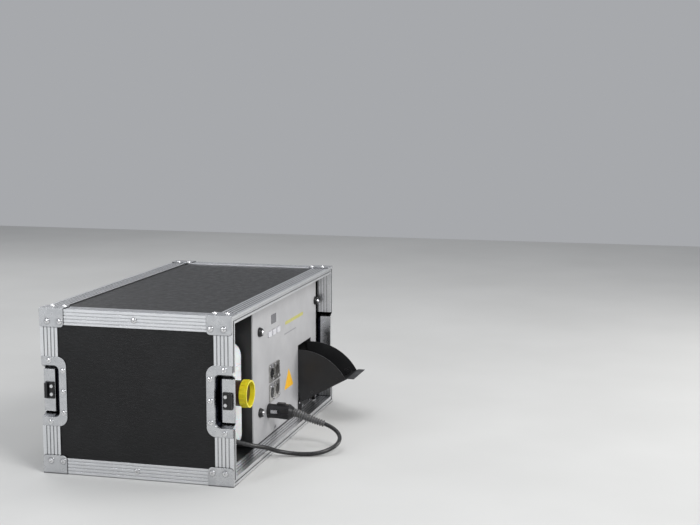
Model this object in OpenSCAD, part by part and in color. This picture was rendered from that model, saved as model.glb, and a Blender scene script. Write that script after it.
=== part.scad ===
// Touring haze machine built into a flight case, with the front and rear lids off.
// Millimetres, +Z up, front towards -Y. The origin is the middle of the case's underside.

/* [Flight case] */
// Outside width of the case
case_w = 574; // [570:1:600]
// Depth of the case body without its lids
case_d = 320; // [318:1:340]
// Outside height of the case
case_h = 267; // [265:1:290]
// Thickness of the laminated plywood
ply_t = 9; // [8.5:0.5:9.5]
// Width of the ribbed edge profile's flanges
edge_flange = 25; // [22:1:28]
// Width of the closing profile's outer flange round each opening
front_flange = 30; // [28:1:32]
// Sheet thickness of corner brackets and latch dishes
bracket_t = 1.2; // [1:0.1:1.4]

/* [Latch dishes] */
// Height of a latch dish over its flange
dish_h = 112; // [104:1:116]
// Depth of the half dish from the case edge to the end of its flange
dish_d = 43; // [40:1:46]
// How deep the dish is pressed
dish_sink = 12; // [10:0.5:12]

/* [Machine front] */
// Distance of the machine's front panel behind the case edge
panel_setback = 27; // [26.5:0.5:30]
// Left edge of the front panel, from the case's left outside face
panel_left = 175; // [174:1:176]
// Width of the front panel
panel_w = 376; // [374:1:380]
// Distance between the three keys
key_pitch = 23.5; // [21:0.5:24]

/* [Outlet flap] */
// Radius of the flap's side cheeks
cheek_r = 99; // [92:1:101]
// Width over the flap's cheeks
flap_w = 84; // [80:1:84]
// Angle of the open flap above the horizontal
flap_angle = 28.8; // [24:0.2:34]

/* [Fluid canister] */
// Width of the lying canister
can_w = 130; // [120:1:134]
// Height of the lying canister
can_h = 186; // [170:1:190]
// Length of the canister's body
can_l = 240; // [220:1:242]

/* [Mains lead] */
// Diameter of the mains lead
cord_d = 7; // [6.5:0.5:7]

/* [Hidden] */

round_fn = 48;      // circles that stay true curves
soft_fn = 32;       // circles inside hulls
gap = 0.1;          // assembly gap between pieces that only rest on each other

// Case build-up, measured from the outside of a wall
profile_t = 2;                        // ribbed outer flange
inner_t = 1.2;                        // inner flange
ply_out = bracket_t + profile_t;      // outer face of the plywood
ply_in = ply_out + ply_t;             // inner face of the plywood
room = ply_in + inner_t;              // inner face of the profiles
web_t = 3;                            // lip across the plywood's edge
inner_flange = 26;                    // closing profile's inner flange
rib_cut = [1.8, 0.7];                 // groove between two ribs: width, depth
mid_z = case_h / 2;

// Corner brackets and rivets
bracket_len = 41;
bracket_leg = 30;
bracket_rivets = [13.5, 34.5];        // along the edge
bracket_rivet_in = 21;                // from the corner
rivet_head_d = 9.4;
rivet_shank_d = 4;
rivet_shank = 8;

// Latch dish
dish_rim = 12;
pan_half = dish_h / 2 - dish_rim - 1.5;
pan_back = dish_d - dish_rim;
pan_slope = 7;
seat_rise = 4.5;                      // raised seat for the keeper, in each dish
seat_back = 20;
seat_half = 34;
dish_rivets = [[14, 49.5], [14, -49.5], [37.3, 34], [37.3, 0], [37.3, -34]];

// Machine box
sheet = 1.5;
panel_y = panel_setback;
panel_t = 2;
inside_y = panel_y + panel_t + 0.2;
panel_right = panel_left + panel_w;
panel_low = room + 0.4;
panel_high = case_h - room - 0.4;
rear_y = case_d - panel_setback - sheet;
screw_sites = [[34, 65], [34, 203], [panel_w - 7, 65], [panel_w - 7, 203]];
rear_screw_sites = [[44, 40], [44, case_h - 40], [case_w - 44, 40], [case_w - 44, case_h - 40]];
cup_d = 16;
cup_t = 6.5;

// Controls, from the case's left face and the floor
keys_x = 287.5;
keys_z = 189.5;
key_size = [17, 9.5];
key_travel = 1;
display_at = [288, 212.5];
display_size = [27, 16];

// Data sockets
socket_x = [272.5, 301.5];
socket_z = [120, 86];
socket_flange = [26, 31];
socket_screw = [9.5, 12];
socket_body_d = 23.6;

// Mains connector
conn = [257, 57];

// Outlet and flap
flap_x = 474.5;
hinge = [23.5, 30];
outlet_w = 86;
outlet_z = [27.5, 137];
duct_in_w = 90;
duct_in_z = [25, 139];
duct_t = 1.2;
duct_end = 140;
fan_t = 25;
fan_y = duct_end + 0.4;
fan_z = (duct_in_z[0] + duct_in_z[1]) / 2;
flap_len = 103;
lip_len = 12;
cheek_span = 68;

// Heater, pump and boards
heater = [[330, 70, 62], [60, 180, 50]];
wool_t = 10;
nozzle_y = 128;
pump = [275, 185, 50];

// Canister
can_x = 165 - can_w;
can_y = 44;
can_z = ply_in + 0.2;
can_edge = 28;
can_wall = 1.8;
cap_at = [93, 126];
cap_y = 3;
adapter_y = 16;

// Mains lead: points chosen along its run, from the strain relief to the coil
CORD_POINTS = [[257, -18, 57], [257, -28, 54.5], [258, -38, 50.5], [261, -48, 46],
  [265, -58, 41.5], [268, -69, 37.5], [267, -80, 33.5], [263, -90, 29], [255, -98, 24.5],
  [243, -103, 20], [230, -103, 15.5], [217, -98, 11.5], [207, -89, 8], [200, -78, 5.5],
  [195, -64, 4.2], [191, -48, 4.2], [186, -31, 6], [177, -14, 10.5], [165, 0, 18], [150, 11, 24],
  [134, 19, 30], [117, 25, 37], [98, 30, 45], [81, 34, 57], [68, 37, 74], [60, 38.5, 95],
  [56, 39, 120], [54, 39, 147], [53, 39.5, 168], [53, 43, 184], [53, 51, 196], [53, 64, 203],
  [53, 82, 205], [52.5, 104, 203.8], [51.7, 127, 203.2], [51.5, 150, 203]];
hose_d = 10;                          // hose from the canister to the pump
cord_rings = 2;                       // rings on each stretch between two points
boot_points = 5;                      // stretches that the strain relief covers
coil_c = [100, 150];
coil_turns = [34.5, 41.5, 48.5];      // radii of the coil's turns, side by side
coil_z = 203;                         // lower layer's centre line
TAIL_POINTS = [[51.5, 150, 210], [51.3, 165, 210.8], [51, 180, 213], [51, 192, 216.5],
  [51, 204, 217.5]];
HOSE_POINTS = [[72, 26, 126], [64, 26, 127], [56, 26.5, 131], [50.5, 27, 139], [48.5, 27.5, 151],
  [48, 28, 165], [49, 29.5, 180], [53, 32, 194], [60, 35, 206], [71, 38, 215], [85, 41, 220],
  [101, 44, 221.5], [119, 47.5, 221.5], [138, 52, 220.5], [157, 57, 219], [174, 62, 217],
  [190, 68, 212], [204, 77, 202], [218, 91, 182], [231, 107, 156], [243, 125, 126], [254, 143, 96],
  [264, 159, 72], [271, 171, 58.5], [275, 179, 51.5], [275, 185, 50]];
FEED_POINTS = [[275, 263, 50], [275, 272, 50.5], [279, 281, 54], [290, 286, 60], [308, 287, 68],
  [328, 286, 77], [345, 281, 84], [355, 270, 87], [358, 258, 87], [358, 244, 87]];

// ---------- helpers ----------

// x from the left face, y from the front edge, z from the floor
module at_corner() { translate([-case_w / 2, -case_d / 2, 0]) children(); }

module cyl_y(d, y0, y1, fn = round_fn) {
  translate([0, y0, 0]) rotate([-90, 0, 0]) cylinder(d = d, h = y1 - y0, $fn = fn);
}

module cyl_x(d, x0, x1, fn = round_fn) {
  translate([x0, 0, 0]) rotate([0, 90, 0]) cylinder(d = d, h = x1 - x0, $fn = fn);
}

// flat outline with true round corners, centred
module round_rect(w, h, r, fn = soft_fn) {
  square([w - 2 * r, h], center = true);
  square([w, h - 2 * r], center = true);
  for (sx = [-1, 1], sy = [-1, 1]) translate([sx * (w / 2 - r), sy * (h / 2 - r)]) circle(r, $fn = fn);
}

// plate standing in the X-Z plane, centred on x and z, from y0 to y1
module plate_y(w, h, r, y0, y1) {
  translate([0, y1, 0]) rotate([90, 0, 0]) linear_extrude(y1 - y0) round_rect(w, h, r);
}

// the drawing repeated at the four long edges, mirrored about the case's middle
module four_edges() {
  for (mx = [0, 1], mz = [0, 1])
    translate([case_w / 2, 0, mid_z]) mirror([mx, 0, 0]) mirror([0, 0, mz])
      translate([-case_w / 2, 0, -mid_z]) children();
}

module front_and_rear() {
  for (my = [0, 1]) translate([0, case_d / 2, 0]) mirror([0, my, 0]) translate([0, -case_d / 2, 0]) children();
}

module left_and_right() {
  for (mx = [0, 1]) translate([case_w / 2, 0, 0]) mirror([mx, 0, 0]) translate([-case_w / 2, 0, 0]) children();
}

// ---------- swept tubes ----------

function unit(v) = v / norm(v);

// smooth curve through a stretch between points b and c
function smooth(a, b, c, d, t) = 0.5 * (2 * b + (c - a) * t + (2 * a - 5 * b + 4 * c - d) * t * t
  + (3 * b - a - 3 * c + d) * t * t * t);

function stretch(p, i, n) = let (last = len(p) - 1, a = i > 0 ? p[i - 1] : 2 * p[0] - p[1],
  d = i < last - 1 ? p[i + 2] : 2 * p[last] - p[last - 1])
  [for (k = [0 : n - 1]) smooth(a, p[i], p[i + 1], d, k / n)];

function curve(p, n) = concat([for (i = [0 : len(p) - 2]) each stretch(p, i, n)], [p[len(p) - 1]]);

function tangent(c, i) = unit(c[min(i + 1, len(c) - 1)] - c[max(i - 1, 0)]);

// side vectors carried along the curve without twist
function side_vectors(c, i, v) = i >= len(c) ? [] :
  let (t = tangent(c, i), s = unit(v - (v * t) * t)) concat([s], side_vectors(c, i + 1, s));

function ring(c, t, s, r, sides) = let (b = cross(t, s))
  [for (k = [0 : sides - 1]) c + r * (cos(360 * k / sides) * s + sin(360 * k / sides) * b)];

// tube of one radius, or of a list of radii, along a curve
module tube(c, r, sides, first_side) {
  side = side_vectors(c, 0, first_side);
  n = len(c);
  points = [for (i = [0 : n - 1]) each ring(c[i], tangent(c, i), side[i], is_list(r) ? r[i] : r, sides)];
  walls = [for (i = [0 : n - 2], k = [0 : sides - 1]) let (m = (k + 1) % sides)
    each [[i * sides + k, (i + 1) * sides + k, (i + 1) * sides + m],
          [i * sides + k, (i + 1) * sides + m, i * sides + m]]];
  start = [[for (k = [0 : sides - 1]) k]];
  end = [[for (k = [sides - 1 : -1 : 0]) (n - 1) * sides + k]];
  polyhedron(points = points, faces = concat(walls, start, end));
}

function part_of(c, from, to) = [for (i = [from : to]) c[i]];

// ---------- flight case ----------

// places a rivet's axis along -z at every rivet of one front lower left corner
module side_rivets() {
  for (y = bracket_rivets) translate([0, y, bracket_rivet_in]) rotate([0, 90, 0]) children();
}

module dish_rivet_sites() {
  for (p = dish_rivets) translate([0, p[0], mid_z + p[1]]) rotate([0, 90, 0]) children();
}

module top_rivets() {
  for (y = bracket_rivets) translate([bracket_rivet_in, y, case_h]) rotate([180, 0, 0]) children();
}

module rivet(z_face) {
  translate([0, 0, z_face]) rotate([180, 0, 0]) rotate_extrude($fn = round_fn)
    polygon([[0, 0], [rivet_head_d / 2, 0], [rivet_head_d / 2 - 0.3, 0.7], [3.2, 1.5], [1.6, 1.8], [1.3, 1.1], [0, 1.1]]);
  translate([0, 0, z_face - 0.01]) cylinder(d = rivet_shank_d, h = rivet_shank, $fn = round_fn);
}

module rivet_hole() {
  translate([0, 0, -1]) cylinder(d = rivet_shank_d + 0.1, h = rivet_shank + bracket_t + 2, $fn = round_fn);
}

module all_rivet_holes() {
  front_and_rear() {
    four_edges() side_rivets() rivet_hole();
    left_and_right() dish_rivet_sites() rivet_hole();
    left_and_right() top_rivets() rivet_hole();
  }
  four_edges() translate([0, case_d / 2, edge_flange / 2 + bracket_t]) rotate([0, 90, 0]) rivet_hole();
}

module case_rivets() {
  color("gainsboro") at_corner() {
    front_and_rear() {
      four_edges() side_rivets() rivet(0);
      left_and_right() dish_rivet_sites() rivet(dish_face);
      left_and_right() top_rivets() rivet(0);
    }
    four_edges() translate([0, case_d / 2, edge_flange / 2 + bracket_t]) rotate([0, 90, 0]) rivet(bracket_t);
  }
}

dish_face = ply_out - 1.8;            // outer face of a dish's flange

module bottom_panel() {
  color("dimgray") at_corner() translate([room + gap, web_t + gap, ply_out + gap / 2])
    cube([case_w - 2 * (room + gap), case_d - 2 * (web_t + gap), ply_t - gap]);
}

module top_panel() {
  color("dimgray") difference() {
    at_corner() translate([room + gap, web_t + gap, case_h - ply_in + gap / 2])
      cube([case_w - 2 * (room + gap), case_d - 2 * (web_t + gap), ply_t - gap]);
    at_corner() front_and_rear() left_and_right() top_rivets() rivet_hole();
  }
}

module side_panel() {
  difference() {
    translate([ply_out + gap / 2, web_t + gap, room + gap])
      cube([ply_t - gap, case_d - 2 * (web_t + gap), case_h - 2 * (room + gap)]);
    front_and_rear() translate([0, -1, mid_z - pan_half - 2.5]) cube([ply_in + 1, pan_back + 4, 2 * pan_half + 5]);
    front_and_rear() dish_rivet_sites() rivet_hole();
    front_and_rear() for (y = bracket_rivets, z = [bracket_rivet_in, case_h - bracket_rivet_in])
      translate([0, y, z]) rotate([0, 90, 0]) rivet_hole();
    for (z = [edge_flange / 2 + bracket_t, case_h - edge_flange / 2 - bracket_t])
      translate([0, case_d / 2, z]) rotate([0, 90, 0]) rivet_hole();
  }
}

module left_side_panel() { color("dimgray") at_corner() side_panel(); }

module right_side_panel() { color("dimgray") mirror([1, 0, 0]) at_corner() side_panel(); }

// grooves between the ribs of a flange that lies along x
module rib_grooves(first, count, pitch) {
  for (i = [0 : count - 1]) translate([first + i * pitch, -0.01]) square([rib_cut[0], rib_cut[1] + 0.01]);
}

module edge_section() {
  difference() {
    union() {
      square([edge_flange, profile_t]);
      square([profile_t, edge_flange]);
    }
    rib_grooves(4, 4, 5.3);
    mirror([1, -1]) rib_grooves(4, 4, 5.3);
  }
  translate([profile_t, profile_t + ply_t]) square([edge_flange - profile_t, inner_t]);
  translate([profile_t + ply_t, profile_t]) square([inner_t, edge_flange - profile_t]);
}

module edge_profiles() {
  y0 = front_flange + 0.2;
  color("silver") at_corner() difference() {
    four_edges() translate([bracket_t, case_d - y0, bracket_t]) rotate([90, 0, 0])
      linear_extrude(case_d - 2 * y0) edge_section();
    all_rivet_holes();
  }
}

// section across a closing profile: x into the case's depth, y into the wall
module closing_section() {
  difference() {
    square([front_flange, profile_t]);
    rib_grooves(6, 4, 6);
  }
  difference() {
    square([web_t, profile_t + ply_t + inner_t]);
    translate([-0.01, 4]) square([1.2, 4.5]);
  }
  difference() {
    translate([0, profile_t + ply_t]) square([inner_flange, inner_t]);
    for (x = [7 : 5.5 : 24]) translate([x, profile_t + ply_t + inner_t - 0.5]) square([2, 0.6]);
  }
}

// one mitred bar along x at the bottom of the front opening
module closing_bar(span) {
  wall = profile_t + ply_t + inner_t;
  intersection() {
    translate([bracket_t, 0, bracket_t]) rotate([90, 0, 90]) linear_extrude(span - 2 * bracket_t) closing_section();
    translate([0, front_flange + 1, 0]) rotate([90, 0, 0]) linear_extrude(front_flange + 2)
      polygon([[bracket_t + 0.05, bracket_t], [span - bracket_t - 0.05, bracket_t],
        [span - bracket_t - wall - 0.05, bracket_t + wall], [bracket_t + wall + 0.05, bracket_t + wall]]);
  }
}

module upright_bar() {
  translate([0, 0, case_h]) rotate([0, 90, 0]) closing_bar(case_h);
}

module closing_frame() {
  at_corner() difference() {
    union() {
      closing_bar(case_w);
      translate([0, 0, case_h]) mirror([0, 0, 1]) closing_bar(case_w);
      left_and_right() difference() {
        upright_bar();
        translate([0, -1, mid_z - dish_h / 2 - 0.2]) cube([ply_out + 0.1, dish_d + 1, dish_h + 0.4]);
        translate([0, -1, mid_z - pan_half - 2.5]) cube([room + 1, dish_d + 1, 2 * pan_half + 5]);
      }
    }
    left_and_right() {
      side_rivets() rivet_hole();
      translate([0, 0, case_h]) mirror([0, 0, 1]) side_rivets() rivet_hole();
      top_rivets() rivet_hole();
      dish_rivet_sites() rivet_hole();
    }
  }
}

module front_closing_profiles() { color("silver") closing_frame(); }

module rear_closing_profiles() { color("silver") mirror([0, 1, 0]) closing_frame(); }

module bracket_leg_outline() {
  difference() {
    square([bracket_len, bracket_leg]);
    for (x = [0, bracket_len]) translate([x, bracket_leg]) difference() {
      square(12, center = true);
      translate([x > 0 ? -6 : 6, -6]) circle(6, $fn = round_fn);
    }
  }
}

module corner_brackets() {
  color("silver") at_corner() difference() {
    front_and_rear() four_edges() {
      rotate([90, 0, 90]) linear_extrude(bracket_t) bracket_leg_outline();
      translate([0, 0, bracket_t]) mirror([0, 0, 1]) mirror([1, -1, 0]) linear_extrude(bracket_t) bracket_leg_outline();
    }
    front_and_rear() {
      four_edges() side_rivets() rivet_hole();
      left_and_right() top_rivets() rivet_hole();
    }
  }
}

// pressed half dish, open to the case's edge
module pan_shape(grow, x0, x1) {
  hull() {
    translate([x0, 0, mid_z]) rotate([90, 0, 90]) linear_extrude(0.1)
      translate([(pan_back + grow) / 2 - 10, 0]) round_rect(pan_back + grow + 20, 2 * (pan_half + grow), 9);
    translate([x1 - 0.1, 0, mid_z]) rotate([90, 0, 90]) linear_extrude(0.1)
      translate([(pan_back - pan_slope + grow) / 2 - 10, 0])
        round_rect(pan_back - pan_slope + grow + 20, 2 * (pan_half - pan_slope + grow), 7);
  }
}

module latch_dish() {
  floor_x = dish_face + dish_sink;
  difference() {
    union() {
      translate([dish_face, 0, mid_z]) rotate([90, 0, 90]) linear_extrude(ply_out - dish_face)
        translate([dish_d / 2 - 10, 0]) round_rect(dish_d + 20, dish_h, 15, round_fn);
      pan_shape(bracket_t, dish_face, floor_x + bracket_t);
    }
    difference() {
      pan_shape(0, dish_face - 1, floor_x);
      box_wall(floor_x - seat_rise, floor_x + 1, -20, seat_back, mid_z - seat_half, mid_z + seat_half);
    }
    translate([-5, -30, 0]) cube([30, 30.6, case_h]);
    dish_rivet_sites() rivet_hole();
  }
}

module left_latch_dishes() { color("silver") at_corner() front_and_rear() latch_dish(); }

module right_latch_dishes() { color("silver") mirror([1, 0, 0]) at_corner() front_and_rear() latch_dish(); }

// keeper plate with its folded hook and two rivets
module latch_keepers() {
  floor_x = dish_face + dish_sink - seat_rise - gap;
  color("black") at_corner() front_and_rear() left_and_right() translate([0, 0, mid_z]) {
    translate([floor_x - 1.5, 3.5, -13.5]) cube([1.5, 15, 27]);
    translate([floor_x - 6, 3.5, -12]) cube([6, 1.6, 24]);
    translate([floor_x - 6, 3.5, -12]) cube([1.6, 5, 24]);
    for (z = [-6.5, 6.5]) translate([0, 14.2, z]) cyl_x(5.4, floor_x - 3.2, floor_x - 1);
  }
}

// ---------- machine box ----------

module at_screws() {
  for (p = screw_sites) translate([panel_left + p[0], panel_y, p[1]]) children();
  for (p = rear_screw_sites) translate([p[0], rear_y + sheet, p[1]]) mirror([0, 1, 0]) children();
}

module at_sockets(columns, rows) {
  for (c = columns, r = rows) translate([socket_x[c], 0, socket_z[r]]) children();
}

module foot_screw_site() { translate([291, panel_y, 20.5]) children(); }

module bracket_screw_sites() {
  for (x = [flap_x - 22.5, flap_x + 22.5]) translate([x, panel_y, 20.5]) children();
}

module front_panel() {
  color("lightgray") at_corner() difference() {
    translate([panel_left, panel_y, panel_low]) cube([panel_w, panel_t, panel_high - panel_low]);
    at_screws() cyl_y(5.3, -5, 5);
    for (i = [-1 : 1]) translate([keys_x + i * key_pitch, 0, keys_z])
      plate_y(key_size[0] + 0.6, key_size[1] + 0.6, 2.3, panel_y - 1, panel_y + 5);
    translate([display_at[0], 0, display_at[1]])
      plate_y(display_size[0] + 0.1, display_size[1] + 0.1, 1.5, panel_y - 1, panel_y + 5);
    at_sockets([0, 1], [0, 1]) {
      cyl_y(socket_body_d + 0.4, panel_y - 1, panel_y + 5);
      for (s = [-1, 1]) translate([s * socket_screw[0], 0, -s * socket_screw[1]]) cyl_y(3.2, panel_y - 1, panel_y + 5);
    }
    at_sockets([0], [0, 1]) translate([-4.6, panel_y - 1, 8]) cube([9.2, 5, 7.3]);
    translate([conn[0], 0, conn[1]]) cyl_y(24.2, panel_y - 1, panel_y + 5);
    foot_screw_site() cyl_y(3.2, -5, 5);
    bracket_screw_sites() cyl_y(3.2, -5, 5);
    translate([flap_x - outlet_w / 2, panel_y - 1, outlet_z[0]]) cube([outlet_w, 5, outlet_z[1] - outlet_z[0]]);
  }
}

module box_wall(x0, x1, y0, y1, z0, z1) { translate([x0, y0, z0]) cube([x1 - x0, y1 - y0, z1 - z0]); }

module chassis_base() {
  color("dimgray") at_corner() box_wall(panel_left, panel_right, inside_y, rear_y - gap, panel_low, panel_low + sheet);
}

module chassis_left_side() {
  color("dimgray") at_corner() difference() {
    box_wall(panel_left, panel_left + sheet, inside_y, rear_y - gap, panel_low + sheet + gap, panel_high - sheet - gap);
    translate([0, 62.4, 216.8]) cyl_x(14, panel_left - 1, panel_left + 5);
  }
}

module chassis_right_side() {
  color("dimgray") at_corner()
    box_wall(panel_right - sheet, panel_right, inside_y, rear_y - gap, panel_low + sheet + gap, panel_high - sheet - gap);
}

module chassis_cover() {
  color("dimgray") at_corner() box_wall(panel_left, panel_right, inside_y, rear_y - gap, panel_high - sheet, panel_high);
}

module rear_panel() {
  color("dimgray") at_corner() difference() {
    box_wall(room + 0.4, case_w - room - 0.4, rear_y, rear_y + sheet, panel_low, panel_high);
    at_screws() cyl_y(5.3, -5, 5);
    for (i = [0 : 9]) translate([flap_x, 0, 40 + i * 9.5]) plate_y(80, 4, 1.9, rear_y - 1, rear_y + 5);
  }
}

// upright rails behind the front panel that its screws go into
module panel_rails() {
  color("gray") at_corner() difference() {
    for (x = [panel_left + 25, panel_right - 16]) translate([x, inside_y, panel_low + 3]) difference() {
      cube([14, 16, panel_high - panel_low - 6]);
      translate([2, 3, -1]) cube([14, 16, panel_high - panel_low]);
    }
    at_screws() cyl_y(4.6, -5, 20);
  }
}

module panel_screws() {
  color("silver") at_corner() at_screws() {
    translate([0, -cup_t, 0]) rotate([90, 0, 0]) rotate_extrude($fn = round_fn)
      polygon([[0, -0.5], [4.4, -0.5], [4.4, 0], [4, 0.9], [2.6, 1.5], [1.5, 1.6], [1.2, 0.6], [0, 0.6]]);
    cyl_y(4.4, -cup_t + 0.4, 6);
  }
}

module cup_washers() {
  color("black") at_corner() at_screws() rotate([90, 0, 0]) rotate_extrude($fn = round_fn)
    polygon([[2.6, 0.05], [cup_d / 2, 0.05], [cup_d / 2, 2.2], [cup_d / 2 - 1.2, cup_t - 1.2],
      [cup_d / 2 - 2.2, cup_t], [5, cup_t], [4.6, cup_t - 0.6], [2.6, cup_t - 0.6]]);
}

module small_screw(y_face) {
  cyl_y(5.2, y_face - 1.4, y_face);
  cyl_y(2.9, y_face - 0.5, y_face + 7);
}

module small_screws() {
  color("silver") at_corner() {
    at_sockets([0, 1], [0, 1]) for (s = [-1, 1])
      translate([s * socket_screw[0], 0, -s * socket_screw[1]]) small_screw(panel_y - 2.1);
    foot_screw_site() small_screw(-0.05);
    bracket_screw_sites() small_screw(-1.65);
  }
}

// ---------- controls ----------

module display_window() {
  color("darkslategray") at_corner() translate([display_at[0], 0, display_at[1]])
    plate_y(display_size[0], display_size[1], 1.5, panel_y - 0.4, panel_y + panel_t);
}

module control_board() {
  board_y = panel_y + 9;
  color("darkgreen") at_corner() {
    box_wall(240, 336, board_y, board_y + 1.6, 176, 236);
    translate([display_at[0], 0, display_at[1]])
      plate_y(display_size[0] - 2, display_size[1] - 2, 1, panel_y + panel_t + 0.3, board_y + 0.1);
    for (i = [-1 : 1]) translate([keys_x + i * key_pitch, 0, keys_z]) {
      plate_y(6, 6, 0.5, board_y - 3.4, board_y + 0.1);
      cyl_y(3.4, board_y - 3.9, board_y - 3);
    }
    for (x = [245, 331], z = [181, 231]) translate([x, 0, z]) cyl_y(6, inside_y, board_y + 0.1);
    box_wall(250, 326, board_y + 1.5, board_y + 9, 226, 233);
    box_wall(256, 270, board_y + 1.5, board_y + 4, 196, 210);
  }
}

module key(index) {
  rear = panel_y + panel_t + 0.4;
  color("white") at_corner() translate([keys_x + (index - 1) * key_pitch, 0, keys_z]) {
    plate_y(key_size[0], key_size[1], 2, panel_y - 2.2, rear + 0.5);
    plate_y(key_size[0] + 3, key_size[1] + 3, 2, rear, rear + 0.8);
    cyl_y(4, rear + 0.4, rear + 1.4);
  }
}

module left_key() { key(0); }

module middle_key() { key(1); }

module right_key() { key(2); }

// ---------- data sockets ----------

module socket_flange_plate() {
  difference() {
    plate_y(socket_flange[0], socket_flange[1], 2.5, panel_y - 2.1, panel_y - 0.05);
    for (s = [-1, 1]) translate([s * socket_screw[0], 0, -s * socket_screw[1]]) cyl_y(3.2, panel_y - 5, panel_y + 1);
  }
}

module female_sockets() {
  color("darkgray") at_corner() at_sockets([0], [0, 1]) difference() {
    union() {
      socket_flange_plate();
      cyl_y(socket_body_d, panel_y - 0.2, panel_y + 22);
    }
    difference() {
      cyl_y(19.4, panel_y - 5, panel_y + 12);
      cyl_y(15.6, panel_y - 6, panel_y + 13);
    }
    for (a = [0, 120, 240]) rotate([0, a + 30, 0]) translate([3.9, 0, 0]) cyl_y(2.8, panel_y - 5, panel_y + 10);
    translate([-4.4, panel_y - 5, 8.6]) cube([8.8, 12, 7.2]);
  }
}

module male_sockets() {
  color("darkgray") at_corner() at_sockets([1], [0, 1]) difference() {
    union() {
      socket_flange_plate();
      cyl_y(socket_body_d, panel_y - 0.2, panel_y + 20);
    }
    cyl_y(19, panel_y - 5, panel_y + 13);
    for (a = [0, 120, 240]) rotate([0, a - 30, 0]) translate([3.9, 0, 0]) cyl_y(2.4, panel_y, panel_y + 26);
  }
}

module socket_pins() {
  color("gold") at_corner() at_sockets([1], [0, 1]) for (a = [0, 120, 240])
    rotate([0, a - 30, 0]) translate([3.9, 0, 0]) cyl_y(2.3, panel_y + 3.6, panel_y + 24);
}

module release_tab(row) {
  color("silver") at_corner() translate([socket_x[0], 0, socket_z[row] + 12]) {
    translate([-3.9, panel_y - 4, -2.8]) cube([7.8, 8, 5.8]);
    translate([-3, panel_y - 4.8, -2.2]) cube([6, 1, 1.4]);
    translate([-3, panel_y - 4.8, 1.2]) cube([6, 1, 1.4]);
  }
}

module upper_release_tab() { release_tab(0); }

module lower_release_tab() { release_tab(1); }

// ---------- mains connector and lead ----------

module mains_inlet() {
  color("black") at_corner() translate([conn[0], 0, conn[1]]) difference() {
    union() {
      cyl_y(24, panel_y - 1, panel_y + 24);
      cyl_y(25.2, panel_y - 2.5, panel_y - 0.05);
      cyl_y(28, panel_y + panel_t + 0.1, panel_y + panel_t + 3);
    }
    cyl_y(19.6, panel_y - 5, panel_y + 15);
  }
}

module power_connector() {
  color("black") at_corner() translate([conn[0], 0, conn[1]]) difference() {
    union() {
      cyl_y(19, panel_y - 4, panel_y + 12);
      cyl_y(24.4, 4, panel_y - 2.7);
      cyl_y(25.4, -12, 6);
      translate([0, -12, 0]) rotate([90, 0, 0]) cylinder(d1 = 25.4, d2 = 17, h = 6, $fn = round_fn);
      box_wall(-5, 5, -3, 11, 10, 15);
      for (a = [20 : 40 : 340]) rotate([0, a, 0]) translate([-1.2, -11, 12]) cube([2.4, 11, 1.3]);
    }
    translate([-14, 3.5, -1.4]) cube([3.3, 16.5, 6.8]);
  }
}

module connector_latch() {
  color("silver") at_corner() translate([conn[0], 0, conn[1]]) {
    translate([-13.4, 8, -1]) cube([2.4, 11.5, 6]);
    translate([-14.4, 9, -0.5]) cube([1.2, 2, 5]);
    translate([-14.4, 13, -0.5]) cube([1.2, 2, 5]);
  }
}

cord_curve = curve(CORD_POINTS, cord_rings);
boot_curve = curve(part_of(CORD_POINTS, 0, boot_points), 10);

// ribbed boot that tapers to the lead
module strain_relief() {
  n = len(boot_curve) - 1;
  radii = [for (i = [0 : n]) 7.6 - 2.6 * i / n - (i % 4 > 1 ? 1 : 0)];
  color("black") at_corner() tube(boot_curve, radii, 16, [1, 0, 0]);
}

module mains_cord() {
  n = len(cord_curve) - 1;
  color("black") at_corner() tube(part_of(cord_curve, boot_points * cord_rings, n), cord_d / 2, 10, [1, 0, 0]);
}

module cord_coil() {
  r0 = coil_turns[0];
  r1 = coil_turns[len(coil_turns) - 1];
  h = cord_d / 2;
  color("black") at_corner() translate([coil_c[0], coil_c[1], coil_z + h]) rotate_extrude($fn = 64)
    translate([(r0 + r1) / 2, 0]) round_rect(r1 - r0 + 2 * h, 4 * h, h);
}

module cord_tail() { color("black") at_corner() tube(curve(TAIL_POINTS, 2), cord_d / 2, 10, [1, 0, 0]); }

module wall_plug() {
  tip = TAIL_POINTS[len(TAIL_POINTS) - 1];
  color("black") at_corner() translate([tip[0], tip[1], tip[2]]) {
    rotate([-90, 0, 0]) cylinder(d1 = 11, d2 = 22, h = 22, $fn = round_fn);
    cyl_y(30, 20, 30);
    cyl_y(35.6, 29, 46);
    for (x = [-9.5, 9.5]) translate([x, 0, 0]) cyl_y(4.8, 45, 64);
  }
}

// hook-and-loop band round the coil
module coil_tie() {
  r0 = coil_turns[0] - cord_d / 2;
  r1 = coil_turns[len(coil_turns) - 1] + cord_d / 2;
  low = coil_z - cord_d / 2;
  w = 16;
  color("dimgray") at_corner() translate([coil_c[0], coil_c[1], low]) difference() {
    box_wall(r0 - 2.6, r1 + 1.4, -w / 2, w / 2, -0.9, 2 * cord_d + 1.2);
    box_wall(r0 - 1.4, r1 + 0.2, -w, w, -0.1, 2 * cord_d + 0.2);
  }
}

// ---------- outlet ----------

module at_hinge() { translate([flap_x, hinge[0], hinge[1]]) children(); }

// side view of the bent plate: away from the hinge along the open angle, then a level lip
module plate_outline() {
  t = 1.2;
  c = cos(flap_angle);
  s = sin(flap_angle);
  polygon([[3.5 * c, 3.5 * s - t / 2], [flap_len * c, flap_len * s - t / 2],
    [flap_len * c + lip_len, flap_len * s - t / 2], [flap_len * c + lip_len, flap_len * s + t / 2],
    [flap_len * c - 0.4, flap_len * s + t / 2], [2.5 * c, 2.5 * s + t / 2 + 0.5]]);
}

// outline drawn in the y-z plane with its x pointing to the front
module side_view(w) {
  translate([w / 2, 0, 0]) rotate([90, 0, -90]) linear_extrude(w) children();
}

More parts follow.
